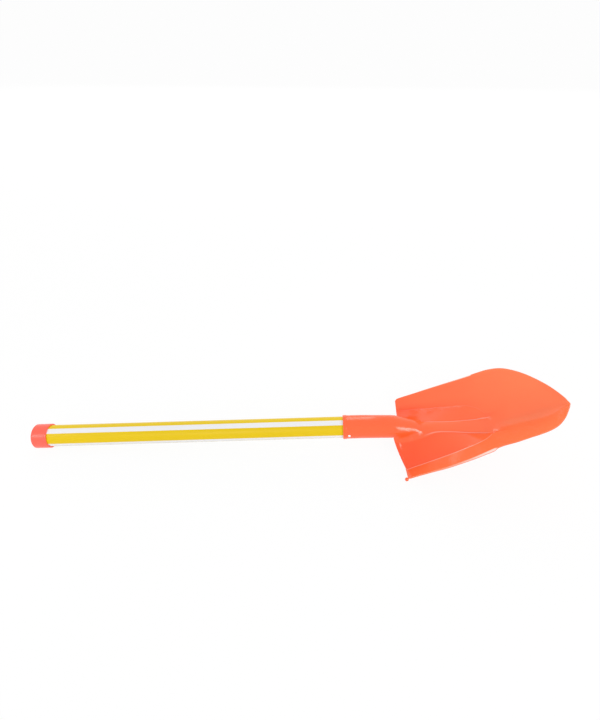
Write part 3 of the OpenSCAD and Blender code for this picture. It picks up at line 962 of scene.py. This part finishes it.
def photo_camera():
    """A camera where the photograph was taken."""
    eye, aim = LAID @ (EYE * MM), LAID @ (AIM * MM)
    data = bpy.data.cameras.new("photo_camera")
    data.sensor_width, data.lens, data.shift_x = SENSOR, LENS, SHIFT
    data.clip_start, data.clip_end = NEAREST, FARTHEST
    camera = shown("photo_camera", data)
    back = (eye - aim).normalized()
    up = LAID.to_3x3() @ Vector((0, 0, 1))
    right = up.cross(back).normalized()
    turn = Matrix((right, back.cross(right), back)).transposed()
    turn = Matrix.Rotation(ROLL, 3, back) @ turn
    camera.matrix_world = Matrix.Translation(eye) @ turn.to_4x4()
    bpy.context.scene.camera = camera


def soft_lamp(name, aim, turn, rise, distance, width, height, radiance):
    """A soft box lamp at a turn and rise in degrees as seen from the place it points at."""
    data = bpy.data.lights.new(name, "AREA")
    data.shape, data.size, data.size_y = "RECTANGLE", width, height
    data.energy = radiance * math.pi * width * height
    lamp = shown(name, data)
    turn, rise = math.radians(turn), math.radians(rise)
    way = Vector((math.cos(turn) * math.cos(rise), math.sin(turn) * math.cos(rise), math.sin(rise)))
    lamp.location = Vector(aim) + way * distance
    lamp.rotation_euler = (-way).to_track_quat("-Z", "Y").to_euler()
    lamp.visible_camera = False
    lamp.visible_glossy = name != PLAIN_LAMP


def looked_at(s):
    """1 for rays that look, straight, mirrored or through glass, and 0 for rays of light."""
    path = s.node("ShaderNodeLightPath").outputs
    seen = s.math("MAXIMUM", path["Is Camera Ray"], path["Is Glossy Ray"])
    return s.math("MAXIMUM", seen, path["Is Transmission Ray"])


def studio_floor():
    """A floor that looks plain white and keeps the shadow of the object."""
    s = fresh_material("studio_white")
    paper = s.node("ShaderNodeBsdfDiffuse", Color=shade((PAPER, PAPER, PAPER)))
    glow = s.node("ShaderNodeEmission", Color=WHITE, Strength=1.0)
    made = s.node("ShaderNodeMixShader")
    for socket, value in zip(made.inputs, (looked_at(s) * PAPER_WHITE, paper.outputs[0],
                                           glow.outputs[0])):
        s.feed(socket, value)
    s.feed(s.output.inputs["Surface"], made.outputs[0])
    bm = bmesh.new()
    bmesh.ops.create_grid(bm, x_segments=1, y_segments=1, size=FLOOR_REACH)
    mesh = mesh_of("studio_floor", bm)
    mesh.materials.append(s.owner)
    shown("studio_floor", mesh)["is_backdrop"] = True


def studio_air():
    """White surroundings that light the object evenly and look plain white."""
    world = bpy.data.worlds.new("studio_air")
    bpy.context.scene.world = world
    s = Shader(world, "ShaderNodeOutputWorld")
    back = s.node("ShaderNodeBackground", Color=WHITE, Strength=looked_at(s) * (1 - AIR) + AIR)
    s.feed(s.output.inputs["Surface"], back.outputs[0])


# Operators

class SHOVEL_OT_camera(bpy.types.Operator):
    """Places the camera where the photograph was taken"""

    bl_idname = "shovel.camera"
    bl_label = "Camera"
    bl_options = {"REGISTER", "UNDO"}

    def execute(self, context):
        photo_camera()
        return {"FINISHED"}


class SHOVEL_OT_blade(bpy.types.Operator):
    """Builds the dished blade with its rib, tongue, panels, rims, lips and nub"""

    bl_idname = "shovel.blade"
    bl_label = "Blade"
    bl_options = {"REGISTER", "UNDO"}

    def execute(self, context):
        blade_piece()
        nub_piece()
        return {"FINISHED"}


class SHOVEL_OT_socket(bpy.types.Operator):
    """Builds the moulded socket with its collar and its rivet"""

    bl_idname = "shovel.socket"
    bl_label = "Socket"
    bl_options = {"REGISTER", "UNDO"}

    def execute(self, context):
        socket_piece()
        rivet_piece()
        return {"FINISHED"}


class SHOVEL_OT_handle(bpy.types.Operator):
    """Builds the striped handle and finishes the tube inside it"""

    bl_idname = "shovel.handle"
    bl_label = "Handle"
    bl_options = {"REGISTER", "UNDO"}

    def execute(self, context):
        sleeve_piece()
        for n in range(len(STRIPES)):
            stripe_piece(n)
        steel = bright_metal("tube_steel", colours().steel, roughness=0.3)
        for slot in frame["nodes"]["handle_tube"].material_slots:
            slot.material = steel
        return {"FINISHED"}


class SHOVEL_OT_cap(bpy.types.Operator):
    """Builds the end cap"""

    bl_idname = "shovel.cap"
    bl_label = "End cap"
    bl_options = {"REGISTER", "UNDO"}

    def execute(self, context):
        cap_piece()
        return {"FINISHED"}


class SHOVEL_OT_studio(bpy.types.Operator):
    """Sets up the white floor, the surroundings, the lamps and the colour view"""

    bl_idname = "shovel.studio"
    bl_label = "Studio"
    bl_options = {"REGISTER", "UNDO"}

    def execute(self, context):
        studio_floor()
        studio_air()
        for lamp in LAMPS:
            soft_lamp(*lamp)
        bpy.context.scene.view_settings.view_transform = "Standard"
        return {"FINISHED"}


STEPS = (SHOVEL_OT_camera, SHOVEL_OT_blade, SHOVEL_OT_socket, SHOVEL_OT_handle, SHOVEL_OT_cap,
         SHOVEL_OT_studio)


class SHOVEL_PT_panel(bpy.types.Panel):
    """Lists the sizes, the colours and the steps"""

    bl_idname = "SHOVEL_PT_panel"
    bl_label = "Sand Shovel"
    bl_space_type = "VIEW_3D"
    bl_region_type = "UI"
    bl_category = "Shovel"

    def draw(self, context):
        for group in (context.scene.shovel_sizes, context.scene.shovel_colours):
            box = self.layout.box()
            for key in group.bl_rna.properties.keys():
                if key not in {"rna_type", "name"}:
                    box.prop(group, key)
        for step in STEPS:
            self.layout.operator(step.bl_idname)


CLASSES = (ShovelSizes, ShovelColours, *STEPS, SHOVEL_PT_panel)


def register():
    for item in CLASSES:
        bpy.utils.register_class(item)
    bpy.types.Scene.shovel_sizes = PointerProperty(type=ShovelSizes)
    bpy.types.Scene.shovel_colours = PointerProperty(type=ShovelColours)


def unregister():
    del bpy.types.Scene.shovel_colours
    del bpy.types.Scene.shovel_sizes
    for item in reversed(CLASSES):
        bpy.utils.unregister_class(item)


def corners():
    """Lowest and highest corner of the shown object as plain lists."""
    return [[round(c, 6) for c in corner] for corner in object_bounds()]


def main():
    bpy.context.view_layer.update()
    register()
    bpy.ops.shovel.camera()
    bpy.ops.shovel.blade()
    bpy.ops.shovel.socket()
    bpy.ops.shovel.handle()
    bpy.ops.shovel.cap()
    bpy.ops.shovel.studio()


if __name__ == "__main__":
    main()
